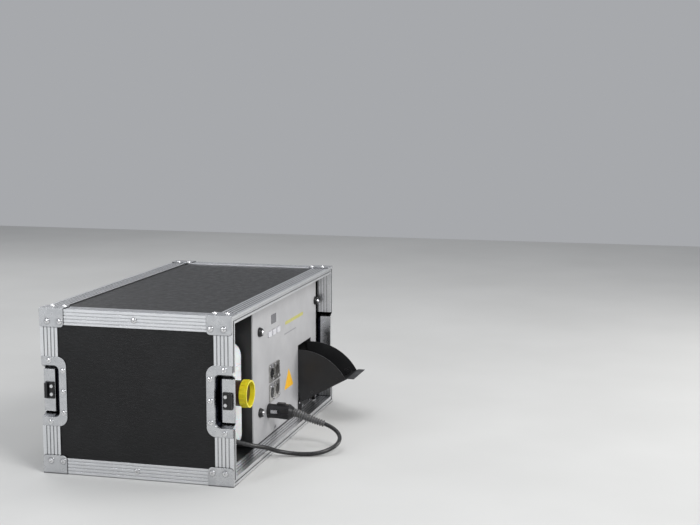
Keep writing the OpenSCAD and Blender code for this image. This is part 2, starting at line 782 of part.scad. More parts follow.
module flap_plate() {
  inner = flap_w - 2.6;
  color("black") at_corner() at_hinge() difference() {
    union() {
      side_view(inner) plate_outline();
      cyl_x(6.4, -inner / 2, inner / 2);
      at_flap_rivets() box_wall(-1.5, -0.1, -6, 6, -6.9, 5);
    }
    cyl_x(3.1, -50, 50);
    at_flap_rivets() cyl_x(3.1, -5, 5);
  }
}

// rivets stand in the plate's folded tabs; x = 0 is a cheek's inner face and points outwards
module at_flap_rivets() {
  for (s = [0, 1], r = [30, 84]) mirror([s, 0, 0]) translate([flap_w / 2 - 1.2, 0, 0])
    rotate([-flap_angle, 0, 0]) translate([0, -r, 7]) children();
}

module cheek_outline() {
  n = 24;
  rotate(flap_angle) difference() {
    polygon(concat([[0, 0]], [for (i = [0 : n]) 120 * [cos(cheek_span * i / n), sin(cheek_span * i / n)]]));
    difference() {
      circle(200, $fn = 12);
      circle(cheek_r, $fn = 96);
    }
    circle(4, $fn = round_fn);
  }
}

module flap_cheeks() {
  t = 1.2;
  a = flap_angle + cheek_span;
  color("black") at_corner() at_hinge() difference() {
    for (s = [-1, 1]) translate([s * (flap_w / 2 - t / 2), 0, 0]) {
      side_view(t) cheek_outline();
      translate([0, -70 * cos(a), 70 * sin(a)]) rotate([90 - a, 0, 0])
        translate([s > 0 ? -t / 2 : -t / 2 - 1.4, -1.2, 0]) cube([t + 1.4, 1.2, 20]);
    }
    at_flap_rivets() cyl_x(3.1, -5, 5);
  }
}

// rivets that join the cheeks to the plate's tabs
module flap_rivets() {
  color("gray") at_corner() at_hinge() at_flap_rivets() {
    cyl_x(3, -2.2, 1.25);
    cyl_x(5, -2.4, -1.6);
    cyl_x(5.4, 1.25, 2.05);
  }
}

module hinge_pin() { color("silver") at_corner() at_hinge() cyl_x(3, -flap_w / 2 - 3.8, flap_w / 2 + 3.8); }

module hinge_bracket() {
  side_x = outlet_w / 2 + 0.4;
  color("black") at_corner() at_hinge() difference() {
    union() {
      box_wall(-side_x, side_x, 1.9, 3.4, -14, -4.6);
      for (s = [-1, 1]) translate([s * (side_x + 0.75), 0, 0]) box_wall(-0.75, 0.75, -3.6, 3.4, -14, 4);
    }
    cyl_x(3.02, -60, 60);
    translate([0, -hinge[0], -hinge[1]]) translate([-flap_x, 0, 0]) bracket_screw_sites() cyl_y(3.2, -5, 5);
  }
}

module outlet_duct() {
  x0 = flap_x - duct_in_w / 2;
  color("dimgray") at_corner() difference() {
    box_wall(x0 - duct_t, x0 + duct_in_w + duct_t, inside_y, duct_end, duct_in_z[0] - duct_t, duct_in_z[1] + duct_t);
    box_wall(x0, x0 + duct_in_w, inside_y - 1, duct_end + 1, duct_in_z[0], duct_in_z[1]);
    translate([0, nozzle_y, heater[0][2] + 25]) cyl_x(8.6, x0 - 5, x0 + 5);
  }
}

module fan_frame() {
  color("black") at_corner() translate([flap_x, fan_y, fan_z]) {
    difference() {
      plate_y(92, 92, 4, 0, fan_t);
      cyl_y(86, -1, fan_t + 1);
      for (x = [-41, 41], z = [-41, 41]) translate([x, 0, z]) cyl_y(4.3, -1, fan_t + 1);
    }
    difference() {
      union() {
        cyl_y(36, fan_t - 4.5, fan_t);
        for (a = [45 : 90 : 315]) rotate([0, a, 0]) box_wall(0, 44, fan_t - 4, fan_t, -2, 2);
      }
      cyl_y(3.1, 0, fan_t + 1);
    }
  }
}

module fan_rotor() {
  blades = 7;
  color("dimgray") at_corner() translate([flap_x, fan_y, fan_z]) {
    cyl_y(35, 2.5, fan_t - 5.2);
    cyl_y(3, fan_t - 6, fan_t - 0.8);
    for (i = [0 : blades - 1]) intersection() {
      rotate([0, i * 360 / blades, 0]) translate([28, 10.5, 0]) rotate([40, 0, 0]) cube([28, 1.6, 22], center = true);
      cyl_y(82, 3, fan_t - 6);
    }
  }
}

// ---------- heater, pump and power ----------

module heater_block() {
  color("silver") at_corner() translate(heater[0]) difference() {
    cube(heater[1]);
    for (x = [15, 45]) translate([x, 0, 13]) cyl_y(10, -1, 160);
    translate([0, nozzle_y - heater[0][1], 25]) cyl_x(8.1, 40, 61);
    translate([28, 0, 25]) cyl_y(4.6, 165, 181);
  }
}

module heater_insulation() {
  w = heater[1];
  color("wheat") at_corner() translate(heater[0]) difference() {
    box_wall(-wool_t, w[0] + wool_t, -wool_t, w[1] + wool_t, -wool_t, w[2] + wool_t);
    box_wall(-gap, w[0] + gap, -gap, w[1] + gap, -gap, w[2] + gap);
    translate([0, nozzle_y - heater[0][1], 25]) cyl_x(9, 50, 75);
    translate([28, 0, 25]) cyl_y(6, 170, 195);
  }
}

// fog pipe from the heater into the duct, with its jet to the front
module outlet_nozzle() {
  x1 = flap_x - 6;
  color("peru") at_corner() translate([0, nozzle_y, heater[0][2] + 25]) difference() {
    union() {
      cyl_x(8, heater[0][0] + 45, x1);
      translate([x1 - 4, 0, 0]) cyl_y(7, -14, 2);
    }
    cyl_x(5, heater[0][0] + 40, x1 - 2);
    translate([x1 - 4, 0, 0]) cyl_y(2.5, -20, 1);
  }
}

module feed_pipe() { color("peru") at_corner() tube(curve(FEED_POINTS, 2), 2, 8, [1, 0, 0]); }

module fluid_pump() {
  color("dimgray") at_corner() translate(pump) {
    cyl_y(8, 0, 14);
    cyl_y(20, 12, 30);
    cyl_y(24, 62, 70);
    difference() {
      cyl_y(8, 69, 80);
      cyl_y(4.6, 77, 81);
    }
    box_wall(-16, 16, 28, 64, -18, 18);
  }
}

module mounting_brackets() {
  low = panel_low + sheet + gap;
  color("gray") at_corner() {
    for (y = [95, 215]) box_wall(318, 402, y, y + 2, low, heater[0][2] - wool_t - gap);
    for (y = [95, 215]) box_wall(318, 402, y, y + 14, low, low + sheet);
    box_wall(255, 295, pump[1] + 26, pump[1] + 66, low, low + sheet);
    for (y = [26, 64.2]) box_wall(257, 293, pump[1] + y, pump[1] + y + 1.8, low, pump[2] - 12.3);
  }
}

module power_board() {
  low = panel_low + sheet + gap;
  color("darkgreen") at_corner() {
    box_wall(184, 246, 60, 190, low + 8, low + 9.6);
    for (x = [189, 241], y = [65, 185]) translate([x, y, low]) cylinder(d = 6, h = 8.1, $fn = round_fn);
    for (y = [80, 104]) translate([205, y, low + 9.5]) cylinder(d = 18, h = 26, $fn = round_fn);
    box_wall(224, 242, 76, 104, low + 9.5, low + 26);
    box_wall(190, 232, 122, 156, low + 9.5, low + 40);
    for (x = [192 : 6 : 240]) box_wall(x, x + 2, 164, 180, low + 9.5, low + 44);
    box_wall(192, 242, 164, 180, low + 9.5, low + 14);
  }
}

// ---------- fluid canister ----------

// body with large edges where front and rear turn into top and bottom, small ones elsewhere
module can_body(inset) {
  w = can_w - 2 * inset;
  h = can_h - 2 * inset;
  l = can_l - 2 * inset;
  translate([can_x + can_w / 2, can_y + can_l / 2, can_z + can_h / 2]) intersection() {
    rotate([90, 0, 90]) linear_extrude(w, center = true) round_rect(l, h, can_edge - inset, round_fn);
    rotate([90, 0, 0]) linear_extrude(l, center = true) round_rect(w, h, 16 - inset, round_fn);
  }
}

module fluid_canister() {
  color("white") at_corner() difference() {
    union() {
      can_body(0);
      for (z = [58, 149]) box_wall(can_x + 14, can_x + can_w - 6, can_y - 1.4, can_y + 1, z, z + 9);
      translate([cap_at[0], 0, cap_at[1]]) cyl_y(34, adapter_y + 4, can_y + 1);
    }
    can_body(can_wall);
    translate([cap_at[0], 0, cap_at[1]]) cyl_y(29, adapter_y - 1, can_y + 5);
  }
}

// union nut: a cup with its open side to the front
module canister_cap() {
  color("gold") at_corner() translate([cap_at[0], cap_y, cap_at[1]]) difference() {
    union() {
      cyl_y(44, 0, 12.6);
      for (a = [0 : 20 : 340]) rotate([0, a, 0]) translate([-1.1, 4, 21.5]) cube([2.2, 8, 1.1]);
    }
    cyl_y(38.4, -1, 10);
    cyl_y(28.4, 0, 14);
  }
}

// fitting on the canister's neck, with its hose barb at the left and a pick-up tube inside
module suction_adapter() {
  color("saddlebrown") at_corner() translate([cap_at[0], 0, cap_at[1]]) {
    difference() {
      union() {
        cyl_y(27.8, cap_y + 7.6, adapter_y + 2);
        cyl_y(37.6, cap_y + 7.6, cap_y + 9.7);
        cyl_y(41, adapter_y, adapter_y + 22);
        translate([0, 26, 0]) cyl_x(11, -21, -18);
      }
      cyl_y(34.2, adapter_y + 3.9, can_y + 5);
    }
    cyl_y(8, adapter_y + 1, can_y + 150);
  }
}

module fluid_hose() { color("dimgray") at_corner() tube(curve(HOSE_POINTS, 2), hose_d / 2, 10, [1, 0, 0]); }

// ---------- one node at a time ----------

bottom_panel();
top_panel();
left_side_panel();
right_side_panel();
edge_profiles();
front_closing_profiles();
rear_closing_profiles();
corner_brackets();
left_latch_dishes();
right_latch_dishes();
latch_keepers();
case_rivets();
front_panel();
chassis_base();
chassis_left_side();
chassis_right_side();
chassis_cover();
rear_panel();
panel_rails();
panel_screws();
cup_washers();
small_screws();
display_window();
control_board();
left_key();
middle_key();
right_key();
female_sockets();
male_sockets();
socket_pins();
upper_release_tab();
lower_release_tab();
mains_inlet();
power_connector();
connector_latch();
strain_relief();
mains_cord();
cord_coil();
cord_tail();
wall_plug();
coil_tie();
flap_plate();
flap_cheeks();
flap_rivets();
hinge_pin();
hinge_bracket();
outlet_duct();
fan_frame();
fan_rotor();
heater_block();
heater_insulation();
outlet_nozzle();
feed_pipe();
fluid_pump();
mounting_brackets();
power_board();
fluid_canister();
canister_cap();
suction_adapter();
fluid_hose();
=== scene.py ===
"""Looks of the haze machine in its flight case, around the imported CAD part."""

import math

import bpy
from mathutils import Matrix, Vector


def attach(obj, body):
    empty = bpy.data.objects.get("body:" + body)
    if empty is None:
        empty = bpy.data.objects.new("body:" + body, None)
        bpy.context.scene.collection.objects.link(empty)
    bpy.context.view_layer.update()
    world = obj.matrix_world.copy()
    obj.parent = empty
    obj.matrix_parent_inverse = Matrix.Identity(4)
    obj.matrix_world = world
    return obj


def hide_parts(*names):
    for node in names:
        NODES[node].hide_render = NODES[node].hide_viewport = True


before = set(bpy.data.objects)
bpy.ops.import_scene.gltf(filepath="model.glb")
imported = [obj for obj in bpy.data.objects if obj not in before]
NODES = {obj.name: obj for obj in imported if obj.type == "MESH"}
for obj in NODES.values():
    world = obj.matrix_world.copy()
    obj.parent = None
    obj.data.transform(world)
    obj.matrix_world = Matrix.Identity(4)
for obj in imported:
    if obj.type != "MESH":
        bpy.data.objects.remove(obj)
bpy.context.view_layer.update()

MM = 0.001
CASE_W, CASE_D, CASE_H = 574, 320, 267  # the case in millimetres


def at(u, v, z):
    """Row-frame point u from the case's left face, v behind its front edge and z up, in millimetres."""
    return Vector(((u - CASE_W / 2) * MM, (v - CASE_D / 2) * MM, z * MM))


# ---------- camera ----------

LENS = 67.9
NEAR_CLIP = 0.05
CAMERA_PLACE = (-1852, -666, 616.5)  # in case millimetres
CAMERA_DIP, CAMERA_TURN = 7.77, -75.42  # degrees below level, and about the vertical


def make_camera():
    data = bpy.data.cameras.new("camera")
    data.lens = LENS
    data.clip_start = NEAR_CLIP
    camera = bpy.data.objects.new("camera", data)
    camera.location = at(*CAMERA_PLACE)
    camera.rotation_euler = (math.radians(90 - CAMERA_DIP), 0, math.radians(CAMERA_TURN))
    bpy.context.collection.objects.link(camera)
    bpy.context.scene.camera = camera


make_camera()

# ---------- mains lead, hose and pipe ----------

CORD_D = 7
ROUTE_STEPS, TURN_STEPS, TAIL_STEPS, TUBE_STEPS = 8, 28, 6, 6  # pieces on each stretch or turn
TUBE_ROUNDNESS = 6
BOOT_STRETCHES = 5  # stretches of the route that lie in the strain relief
BOOT_STEPS = 24  # rings on each of them
BOOT_SIDES = 40
BOOT_RADIUS, BOOT_TAPER = 6.3, 2  # at the connector, and how much it loses on the way
RIDGE_H = 1.5
RIDGE_PITCH = 9  # rings from ridge to ridge
RIDGE_SQUARENESS = 2.5
ROUTE = [
    (257, -18, 57), (257, -28, 54.5), (258, -38, 50.5), (261, -48, 46), (265, -58, 41.5),
    (268, -69, 37.5), (267, -80, 33.5), (263, -90, 29), (255, -98, 24.5), (243, -103, 20),
    (230, -103, 15.5), (217, -98, 11.5), (207, -89, 8), (200, -78, 5.5), (195, -64, 4.2),
    (191, -48, 4.2), (186, -31, 6), (177, -14, 10.5), (165, 0, 18), (150, 11, 24), (134, 19, 30),
    (117, 25, 37), (98, 30, 45), (81, 34, 57), (68, 37, 74), (60, 38.5, 95), (56, 39, 120),
    (54, 39, 147), (53, 39.5, 168), (53, 43, 184), (53, 51, 196), (53, 64, 203), (53, 82, 205),
    (52.5, 104, 203.8), (51.7, 127, 203.2), (51.5, 150, 203),
]
COIL_CENTRE = (100, 150)
COIL_TURNS = (48.5, 41.5, 34.5)  # radii of the coil's turns, from the outside in
COIL_Z = 203  # lower layer's centre line
TAIL = [(51.5, 150, 210), (51.3, 165, 210.8), (51, 180, 213), (51, 192, 216.5), (51, 204, 217.5)]
HOSE_D = 10
HOSE = [
    (72, 26, 126), (64, 26, 127), (56, 26.5, 131), (50.5, 27, 139), (48.5, 27.5, 151),
    (48, 28, 165), (49, 29.5, 180), (53, 32, 194), (60, 35, 206), (71, 38, 215), (85, 41, 220),
    (101, 44, 221.5), (119, 47.5, 221.5), (138, 52, 220.5), (157, 57, 219), (174, 62, 217),
    (190, 68, 212), (204, 77, 202), (218, 91, 182), (231, 107, 156), (243, 125, 126), (254, 143, 96),
    (264, 159, 72), (271, 171, 58.5), (275, 179, 51.5), (275, 185, 50),
]
FEED_D = 4
FEED = [
    (275, 263, 50), (275, 272, 50.5), (279, 281, 54), (290, 286, 60), (308, 287, 68),
    (328, 286, 77), (345, 281, 84), (355, 270, 87), (358, 258, 87), (358, 244, 87),
]


def smooth(a, b, c, d, t):
    """Catmull-Rom curve between b and c."""
    return 0.5 * (2 * b + (c - a) * t + (2 * a - 5 * b + 4 * c - d) * t**2 + (3 * b - a - 3 * c + d) * t**3)


def curve_points(points, steps):
    """The smooth curve through points, with steps pieces on each stretch, as the CAD model sweeps it."""
    p = [Vector(x) for x in points]
    p = [2 * p[0] - p[1], *p, 2 * p[-1] - p[-2]]
    line = [smooth(*p[i : i + 4], k / steps) for i in range(len(p) - 3) for k in range(steps)]
    return [*line, p[-2]]


def coil_points(steps):
    """Turns from the outside in on the lower layer, then from the inside out on the upper one."""
    centre = Vector((*COIL_CENTRE, 0))
    pitch = COIL_TURNS[0] - COIL_TURNS[1]
    turns = 2 * len(COIL_TURNS) - 1
    points = []
    for i in range(1, turns * steps):
        turn = i / steps
        middle = turns / 2
        radius = COIL_TURNS[0] - pitch * (middle - abs(turn - middle)) * (len(COIL_TURNS) - 1) / middle
        rise = min(max(turn - middle + 0.5, 0), 1)
        angle = math.pi - math.tau * turn
        height = COIL_Z + CORD_D * rise
        points.append(centre + Vector((radius * math.cos(angle), radius * math.sin(angle), height)))
    return points


def tube(name, points, diameter):
    """A round cable along points given in case millimetres."""
    data = bpy.data.curves.new(name, "CURVE")
    data.dimensions = "3D"
    data.bevel_depth = diameter / 2 * MM
    data.bevel_resolution = TUBE_ROUNDNESS
    data.use_fill_caps = True
    spline = data.splines.new("POLY")
    spline.points.add(len(points) - 1)
    for point, place in zip(spline.points, points):
        point.co = (*at(*place), 1)
    piece = bpy.data.objects.new(name, data)
    bpy.context.collection.objects.link(piece)
    return piece


def make_boot():
    """Ribbed strain relief that tapers to the lead."""
    line = curve_points(ROUTE[: BOOT_STRETCHES + 1], BOOT_STEPS)
    sides, last = BOOT_SIDES, len(line) - 1
    verts = []
    side = Vector((1, 0, 0))
    for i, point in enumerate(line):
        along = (line[min(i + 1, last)] - line[max(i - 1, 0)]).normalized()
        side = (side - side.dot(along) * along).normalized()
        up = along.cross(side)
        wave = math.tanh(RIDGE_SQUARENESS * math.cos(math.tau * i / RIDGE_PITCH))
        ridge = 0.5 + 0.5 * wave / math.tanh(RIDGE_SQUARENESS)
        radius = BOOT_RADIUS - BOOT_TAPER * i / last + RIDGE_H * ridge
        verts += [
            at(*(point + radius * (math.cos(a) * side + math.sin(a) * up)))
            for a in (math.tau * k / sides for k in range(sides))
        ]
    faces = [
        (i * sides + k, (i + 1) * sides + k, (i + 1) * sides + (k + 1) % sides, i * sides + (k + 1) % sides)
        for i in range(last)
        for k in range(sides)
    ]
    faces += [tuple(range(sides)), tuple(last * sides + k for k in reversed(range(sides)))]
    data = bpy.data.meshes.new("ribbed_boot")
    data.from_pydata(verts, [], faces)
    data.polygons.foreach_set("use_smooth", [True] * len(faces))
    piece = bpy.data.objects.new("ribbed_boot", data)
    bpy.context.collection.objects.link(piece)
    return piece


lead_line = curve_points(ROUTE, ROUTE_STEPS)
lead_line += coil_points(TURN_STEPS)
lead_line += curve_points(TAIL, TAIL_STEPS)
lead = tube("mains_lead", lead_line, CORD_D)
boot = make_boot()
hose = tube("fluid_tube", curve_points(HOSE, TUBE_STEPS), HOSE_D)
feed = tube("feed_tube", curve_points(FEED, TUBE_STEPS), FEED_D)

# ---------- panel marks ----------


PANEL_FACE = 26.85  # marks stand just proud of the front panel
MARK_DEPTH = 0.2
CORNER_STEPS = 6


def mark(name, corners, radius):
    """A thin flat mark on the front panel, from its corners in u and z, rounded to about radius."""
    outline = rounded(corners, radius)
    count = len(outline)
    verts = [at(u, PANEL_FACE + d, z) for d in (0, MARK_DEPTH) for u, z in outline]
    faces = [tuple(reversed(range(count))), tuple(range(count, 2 * count))]
    faces += [(k, (k + 1) % count, count + (k + 1) % count, count + k) for k in range(count)]
    data = bpy.data.meshes.new(name)
    data.from_pydata(verts, [], faces)
    piece = bpy.data.objects.new(name, data)
    bpy.context.collection.objects.link(piece)
    return piece


def rounded(corners, radius):
    """An outline with its corners rounded by quadratic arcs."""
    outline = []
    fractions = [step / CORNER_STEPS for step in range(CORNER_STEPS + 1)]
    for before, corner, after in zip(corners[-1:] + corners[:-1], corners, corners[1:] + corners[:1]):
        c = Vector(corner)
        a = c + (Vector(before) - c).normalized() * radius
        b = c + (Vector(after) - c).normalized() * radius
        outline += [tuple(a.lerp(c, t).lerp(c.lerp(b, t), t)) for t in fractions]
    return outline


triangle = mark("plain_triangle", [(347, 72), (401, 72), (374, 107)], 4)
stripe = mark("plain_stripe", [(355, 189), (465, 189), (465, 195), (355, 195)], 2)
line_mark = mark("plain_line", [(350, 172), (420, 172), (420, 174), (350, 174)], 0.8)

# ---------- materials ----------

ZINC_DARK, ZINC_LIGHT = (0.55, 0.56, 0.58), (0.66, 0.665, 0.68)
# painted shade colour for hollows and grooves
PAINTED_HOLLOW_SHADE = (0.02, 0.02, 0.022)
KEEPER_RIVET = (14.2, 6.5, 2.7)  # behind the case's edge, off its mid height, and radius
SOCKET_PLACE = ((0, 14.5), (103, 17))  # in u and z: the middle of the four sockets, and each one's offset
SOCKET_INSERT = (9.4, 9.7)  # radius of the black insert, and of the plating round it

class Look:
    """A material with short calls for the nodes used here. Textures lie in the row frame, in metres."""

    def __init__(self, name, colour, roughness, metallic=0.0, **sockets):
        self.material = bpy.data.materials.new(name)
        self.material.use_nodes = True
        self.tree = self.material.node_tree
        self.shader = self.tree.nodes["Principled BSDF"]
        self.shader.inputs["Base Color"].default_value = (*colour, 1)
        self.shader.inputs["Roughness"].default_value = roughness
        self.shader.inputs["Metallic"].default_value = metallic
        for key, value in sockets.items():
            self.shader.inputs[key.replace("_", " ")].default_value = value
        self.coords = self.tree.nodes.new("ShaderNodeTexCoord").outputs["Object"]

    def node(self, kind, **inputs):
        node = self.tree.nodes.new(kind)
        for key, value in inputs.items():
            self.feed(node.inputs[key.replace("_", " ")], value)
        return node

    def feed(self, socket, value):
        if isinstance(value, bpy.types.NodeSocket):
            self.tree.links.new(value, socket)
        else:
            socket.default_value = value

    def stretched(self, factors):
        return self.node("ShaderNodeMapping", Vector=self.coords, Scale=factors).outputs["Vector"]

    def noise(self, size_mm, detail=4.0, rough=0.55, stretch=None):
        """Noise with features of about size_mm."""
        coords = self.stretched(stretch) if stretch else self.coords
        scale = 1 / (size_mm * MM)
        node = self.node("ShaderNodeTexNoise", Vector=coords, Scale=scale, Detail=detail, Roughness=rough)
        return node.outputs["Fac"]

    def cells(self, size_mm, feature="F1"):
        node = self.node("ShaderNodeTexVoronoi", Vector=self.coords, Scale=1 / (size_mm * MM))
        node.feature = feature
        return node.outputs["Distance"]

    def ramp(self, value, low, high, out_low=0.0, out_high=1.0):
        node = self.node("ShaderNodeMapRange", Value=value)
        node.inputs["From Min"].default_value = low
        node.inputs["From Max"].default_value = high
        node.inputs["To Min"].default_value = out_low
        node.inputs["To Max"].default_value = out_high
        return node.outputs["Result"]

    def open_to(self, distance_mm):
        """1 on open surfaces and towards 0 in grooves and hollows of about distance_mm."""
        node = self.node("ShaderNodeAmbientOcclusion", Distance=distance_mm * MM)
        node.samples = 8
        return node.outputs["AO"]

    def ring_distance(self, u, v, z, axis):
        """Distance from the nearest of four mirrored lines along axis.

        u, v and z are each (middle, offset) in millimetres.
        """
        parts = self.node("ShaderNodeSeparateXYZ", Vector=self.coords).outputs
        squares = []
        for name, place in zip("XYZ", (u, v, z)):
            if name != axis:
                off = self.maths("ABSOLUTE", self.maths("SUBTRACT", parts[name], place[0] * MM), 0.0)
                squares.append(self.maths("POWER", self.maths("SUBTRACT", off, place[1] * MM), 2.0))
        return self.maths("SQRT", self.maths("ADD", *squares), 0.0)

    def maths(self, operation, a, b):
        node = self.tree.nodes.new("ShaderNodeMath")
        node.operation = operation
        self.feed(node.inputs[0], a)
        self.feed(node.inputs[1], b)
        return node.outputs[0]

    def mix(self, amount, a, b):
        """Colour between a and b."""
        node = self.tree.nodes.new("ShaderNodeMix")
        node.data_type = "RGBA"
        self.feed(node.inputs["Factor"], amount)
        for socket, value in ((node.inputs["A"], a), (node.inputs["B"], b)):
            colour = [s for s in node.inputs if s.name == socket.name and s.type == "RGBA"][0]
            self.feed(colour, value if isinstance(value, bpy.types.NodeSocket) else (*value, 1))
        return [s for s in node.outputs if s.type == "RGBA"][0]

    def colour(self, value):
        self.feed(self.shader.inputs["Base Color"], value)

    def roughness(self, value):
        self.feed(self.shader.inputs["Roughness"], value)

    def edges(self, radius_mm):
        """Normals rounded at the edges, for relief to stand on."""
        node = self.node("ShaderNodeBevel", Radius=radius_mm * MM)
        node.samples = 4
        return node.outputs["Normal"]

    def blotches(self, size_mm, detail, dark, light):
        """Colour that wanders between dark and light."""
        return self.mix(self.ramp(self.noise(size_mm, detail), 0.35, 0.7), dark, light)

    def uneven(self, size_mm, detail, low, high):
        """Roughness that wanders between low and high."""
        self.roughness(self.ramp(self.noise(size_mm, detail), 0.3, 0.7, low, high))

    def relief(self, height, depth_mm, strength, round_mm=0.35):
        """Bumps depth_mm deep, on edges rounded by round_mm."""
        node = self.node("ShaderNodeBump", Height=height, Strength=strength, Distance=depth_mm * MM)
        if round_mm:
            self.feed(node.inputs["Normal"], self.edges(round_mm))
        self.feed(self.shader.inputs["Normal"], node.outputs["Normal"])

    def worn_edge(self):
        """1 where an edge is close by and scuffed, else 0."""
        edge = self.node("ShaderNodeBevel", Radius=0.9 * MM)
        edge.samples = 6
        geometry = self.tree.nodes.new("ShaderNodeNewGeometry")
        dot = self.tree.nodes.new("ShaderNodeVectorMath")
        dot.operation = "DOT_PRODUCT"
        self.feed(dot.inputs[0], edge.outputs["Normal"])
        self.feed(dot.inputs[1], geometry.outputs["Normal"])
        near = self.ramp(dot.outputs["Value"], 0.98, 0.86)
        return self.maths("MULTIPLY", near, self.ramp(self.noise(6, 5), 0.5, 0.62))


def laminate():
    """Black film with a leather grain over plywood."""
    look = Look("laminate", (0.006, 0.006, 0.007), 0.4, Specular_IOR_Level=0.3)
    creases = look.ramp(look.noise(4.5, 6, 0.65, (0.8, 0.5, 1.3)), 0.38, 0.62)
    grain = look.cells(1.3, "SMOOTH_F1")
    height = look.maths("ADD", creases, look.maths("MULTIPLY", grain, 0.6))
    look.relief(height, 0.22, 0.7)
    dust = look.ramp(look.noise(60, 6, 0.65), 0.45, 0.75)
    look.colour(look.mix(dust, (0.0055, 0.0055, 0.006), (0.010, 0.010, 0.011)))
    look.uneven(12, 5, 0.34, 0.46)
    return look.material


def aluminium(name, stretch, painted_groove_shade=0.09):
    """Anodised extrusion with fine draw marks along it, and painted shade darkening the grooves between its
    ribs.
    """
    look = Look(name, (0.6, 0.6, 0.62), 0.3, 1.0)
    draw = look.noise(0.5, 3, 0.6, stretch)
    haze = look.noise(60, 4)
    unshaded_tone = look.mix(look.ramp(haze, 0.35, 0.7), (0.74, 0.75, 0.77), (0.82, 0.825, 0.84))
    # painted shade: ambient occlusion darkens the grooves between the ribs
    open_face = look.ramp(look.open_to(2.2), 0.62, 0.93)
    look.colour(look.mix(open_face, (painted_groove_shade, painted_groove_shade, painted_groove_shade * 1.05), unshaded_tone))
    look.roughness(look.ramp(draw, 0.3, 0.7, 0.24, 0.38))
    look.relief(draw, 0.012, 0.4, 0.3)
    return look.material


def plated_steel(name):
    """Zinc plating with handling marks, and painted shade darkening its hollows."""
    look = Look(name, (0.6, 0.61, 0.63), 0.28, 1.0)
    cloud = look.noise(14, 6, 0.6)
    scratch = look.ramp(look.noise(1.2, 2, 0.5, (1, 0.06, 0.9)), 0.68, 0.76)
    unshaded_tone = look.mix(look.ramp(cloud, 0.35, 0.7), ZINC_DARK, ZINC_LIGHT)
    # painted shade: ambient occlusion darkens the hollows and the rings round rivets
    open_face = look.ramp(look.open_to(3.0), 0.62, 0.95)
    look.colour(look.mix(open_face, PAINTED_HOLLOW_SHADE, unshaded_tone))
    matt = look.ramp(cloud, 0.3, 0.7, 0.22, 0.3)
    look.roughness(look.maths("ADD", matt, look.maths("MULTIPLY", scratch, 0.1)))
    look.relief(look.noise(30, 2), 0.12, 0.3, 0.5)
    return look.material


def dish_steel():
    """Plated pressing with painted shade: its deep channel behind the keeper's seat is coloured near black
    as shadow, and its hollows are darkened.
    """
    look = Look("dish_steel", (0.6, 0.61, 0.63), 0.28, 1.0)
    parts = look.node("ShaderNodeSeparateXYZ", Vector=look.coords).outputs
    across = look.maths("ABSOLUTE", parts["X"], 0.0)
    along = look.maths("ABSOLUTE", parts["Y"], 0.0)
    deep = look.ramp(across, (CASE_W / 2 - 2) * MM, (CASE_W / 2 - 4.5) * MM)
    behind = look.ramp(along, (CASE_D / 2 - 19.8) * MM, (CASE_D / 2 - 20.4) * MM)
    # painted shadow: the deep channel behind the keeper's seat is coloured near black
    painted_channel_shadow = look.maths("MULTIPLY", deep, behind)
    unshaded_tone = look.mix(look.ramp(look.noise(14, 6, 0.6), 0.35, 0.7), ZINC_DARK, ZINC_LIGHT)
    # painted shade: ambient occlusion darkens the dish's hollows
    shaded = look.mix(look.ramp(look.open_to(16), 0.48, 0.72), PAINTED_HOLLOW_SHADE, unshaded_tone)
    look.colour(look.mix(painted_channel_shadow, shaded, (0.012, 0.013, 0.02)))
    look.uneven(10, 5, 0.22, 0.32)
    look.relief(look.noise(30, 2), 0.12, 0.3, 0.5)
    return look.material


def rivet_metal():
    """Bright domed heads, with painted shade darkening the hole where the pin broke off."""
    look = Look("rivet_metal", (0.8, 0.8, 0.81), 0.18, 1.0)
    # painted shade: ambient occlusion darkens the hole where the pin broke off
    open_face = look.ramp(look.open_to(1.6), 0.5, 0.85)
    unshaded_tone = look.blotches(3, 5, (0.74, 0.74, 0.75), (0.86, 0.86, 0.87))
    look.colour(look.mix(open_face, (0.015, 0.015, 0.016), unshaded_tone))
    look.uneven(1.5, 4, 0.12, 0.24)
    return look.material


def keeper_paint():
    """Black keeper plate with two bare rivets."""
    look = Look("keeper_paint", (0.006, 0.006, 0.007), 0.35)
    behind, off_middle, radius = KEEPER_RIVET
    ring = look.ring_distance((0, 0), (0, CASE_D / 2 - behind), (CASE_H / 2, off_middle), "X")
    bare = look.ramp(ring, (radius + 0.1) * MM, (radius - 0.1) * MM)
    coat = look.blotches(4, 4, (0.005, 0.005, 0.006), (0.011, 0.011, 0.012))
    look.colour(look.mix(bare, coat, (0.72, 0.72, 0.73)))
    look.feed(look.shader.inputs["Metallic"], bare)
    look.uneven(2, 4, 0.26, 0.42)
    look.relief(look.noise(0.6, 3), 0.03, 0.5)
    return look.material


def socket_metal():
    """Nickel-plated flange round a black insert."""
    look = Look("socket_metal", (0.55, 0.55, 0.56), 0.26)
    across, up = SOCKET_PLACE
    insert, plating = SOCKET_INSERT
    plated = look.ramp(look.ring_distance(across, (0, 0), up, "Y"), insert * MM, plating * MM)
    nickel = look.blotches(3, 5, (0.50, 0.49, 0.47), (0.64, 0.63, 0.61))
    look.colour(look.mix(plated, (0.008, 0.008, 0.009), nickel))
    look.feed(look.shader.inputs["Metallic"], plated)
    look.uneven(1.5, 4, 0.2, 0.36)
    look.relief(look.noise(0.5, 3), 0.015, 0.5)
    return look.material


def powder_coat(name, colour, light, roughness, scuffs=0.0):
    """Fine orange-peel paint, with bare metal at scuffed edges."""
    look = Look(name, colour, roughness)
    peel = look.maths("ADD", look.noise(0.8, 2), look.maths("MULTIPLY", look.cells(0.55), 0.6))
    tone = look.blotches(60, 5, colour, light)
    if scuffs:
        worn = look.maths("MULTIPLY", look.worn_edge(), scuffs)
        tone = look.mix(worn, tone, (0.32, 0.32, 0.33))
    look.colour(tone)
    look.uneven(25, 4, roughness - 0.07, roughness + 0.09)
    look.relief(peel, 0.05, 0.55)
    return look.material


